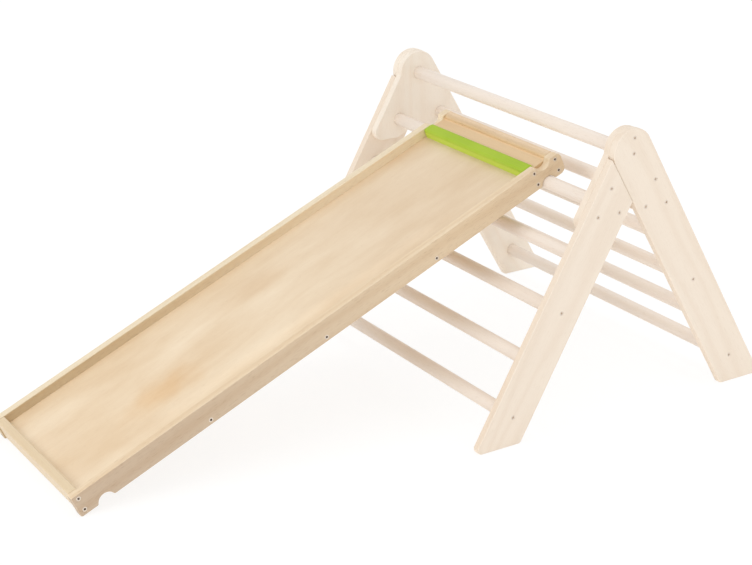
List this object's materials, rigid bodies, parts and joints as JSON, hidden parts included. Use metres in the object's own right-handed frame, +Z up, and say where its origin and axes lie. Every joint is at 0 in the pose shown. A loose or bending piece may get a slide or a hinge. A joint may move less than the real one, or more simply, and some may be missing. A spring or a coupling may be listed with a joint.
{
  "type": "climbing ladder with slide",
  "caption": "Child's wooden A-frame climbing ladder with round rungs and a shallow slide that hooks over the upper front rung, with a lime-green cross bar at its head.",
  "frame": {"origin": "on the floor, at the middle of the whole object's box", "axes": "+X from the slide's low end towards the ladder's rear, +Y across to the far side, +Z up"},
  "size_m": [1.5724, 0.836, 0.6358],
  "materials": {
    "ladder_wood": "pale sanded, satin",
    "slide_wood": "clear lacquer, satin",
    "floor_ply": "clear lacquer, smooth",
    "green_paint": "painted, satin",
    "steel": "zinc-plated"
  },
  "bodies": {
    "ladder": {"far_front_leg": "ladder_wood", "far_gusset": "ladder_wood", "far_gusset_screws": "steel", "far_rear_leg": "ladder_wood", "far_rung_screws": "steel", "front_rung_1": "ladder_wood", "front_rung_2": "ladder_wood", "front_rung_3": "ladder_wood", "front_rung_4": "ladder_wood", "front_rung_5": "ladder_wood", "near_front_leg": "ladder_wood", "near_gusset": "ladder_wood", "near_gusset_screws": "steel", "near_rear_leg": "ladder_wood", "near_rung_screws": "steel", "rear_rung_1": "ladder_wood", "rear_rung_2": "ladder_wood", "rear_rung_3": "ladder_wood", "rear_rung_4": "ladder_wood", "rear_rung_5": "ladder_wood", "top_rung": "ladder_wood"},
    "slide": {"far_bar_screws": "steel", "far_batten_screws": "steel", "far_rail": "slide_wood", "green_bar": "green_paint", "head_panel": "floor_ply", "low_bar": "slide_wood", "near_bar_screws": "steel", "near_batten_screws": "steel", "near_rail": "slide_wood", "slide_floor": "floor_ply", "top_bar": "slide_wood", "under_batten_1": "slide_wood", "under_batten_2": "slide_wood", "under_batten_3": "slide_wood"}
  },
  "joints": [
    {"name": "slide_lift", "type": "hinge", "parent": "ladder", "child": "slide", "pos_m": [0.34355, 0, 0.47538], "axis": [0, 1, 0], "range_deg": [0, 60]}
  ]
}
